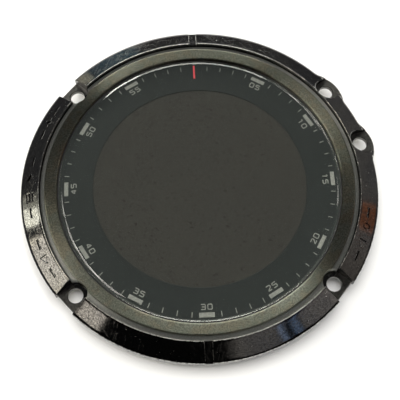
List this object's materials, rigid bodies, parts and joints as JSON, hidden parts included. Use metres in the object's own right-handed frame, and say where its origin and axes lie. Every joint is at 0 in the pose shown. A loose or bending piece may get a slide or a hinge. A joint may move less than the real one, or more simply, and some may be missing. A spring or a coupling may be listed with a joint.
{
  "type": "dive computer front module",
  "caption": "Front bezel and display module of a wrist dive computer: screw-down metal bezel, lens with minute track, round display stack and fold-out flex tail.",
  "frame": {"origin": "axis of the round case register, on the plane where the bezel seats on the case", "axes": "+Z out through the lens, +Y towards twelve o'clock, +X towards three o'clock"},
  "size_m": [0.0513, 0.051, 0.0049],
  "materials": {
    "polished_coated_steel": "polished stainless steel under a worn black coating",
    "satin_steel": "fine blasted grey ring",
    "adhesive": "thin bonding film",
    "lens_crystal": "polished clear crystal",
    "black_seal": "matte black moulded seal",
    "scale_ink": "warm grey printed ink",
    "mask_ink": "black printed mask",
    "clear_bond": "clear optical adhesive",
    "polariser_film": "dark grey film",
    "display_glass": "thin cut glass",
    "silicon": "bare polished die",
    "white_film": "white film",
    "clear_plastic": "clear moulded acrylic",
    "flex_film": "amber film over copper tracks",
    "led_body": "white moulded package",
    "tray_steel": "thin pressed stainless sheet",
    "foam": "fine open foam",
    "carrier_plastic": "glass-filled moulded plastic",
    "seal_rubber": "lightly greased seal cord",
    "gold": "gold plated contact",
    "stiffener_board": "glass fibre board",
    "capacitor_ceramic": "brown ceramic with tinned ends",
    "connector_plastic": "moulded black plastic"
  },
  "bodies": {
    "module": {"outer_bezel": "polished_coated_steel", "inner_ring": "satin_steel", "ring_adhesive": "adhesive", "lens": "lens_crystal", "lens_seal": "black_seal", "minute_scale": "scale_ink", "scale_mask": "mask_ink", "optical_bond": "clear_bond", "front_polariser": "polariser_film", "colour_filter_glass": "display_glass", "tft_glass": "display_glass", "driver_chip": "silicon", "rear_polariser": "polariser_film", "diffuser_sheet": "white_film", "light_guide": "clear_plastic", "reflector_sheet": "white_film", "led_strip": "flex_film", "backlight_leds": "led_body", "backlight_tray": "tray_steel", "foam_pads": "foam", "carrier_frame": "carrier_plastic", "frame_adhesive": "adhesive", "main_o_ring": "seal_rubber", "antenna_contacts": "gold", "display_flex": "flex_film"},
    "tail": {"flex_tail": "flex_film", "flex_stiffener": "stiffener_board", "flex_capacitors": "capacitor_ceramic", "connector_plug": "connector_plastic", "connector_contacts": "gold"}
  },
  "joints": [
    {"name": "tail_unfold", "type": "hinge", "parent": "module", "child": "tail", "pos_m": [0, -0.0169, -0.00086], "axis": [-1, 0, 0], "range_deg": [0, 100]}
  ]
}
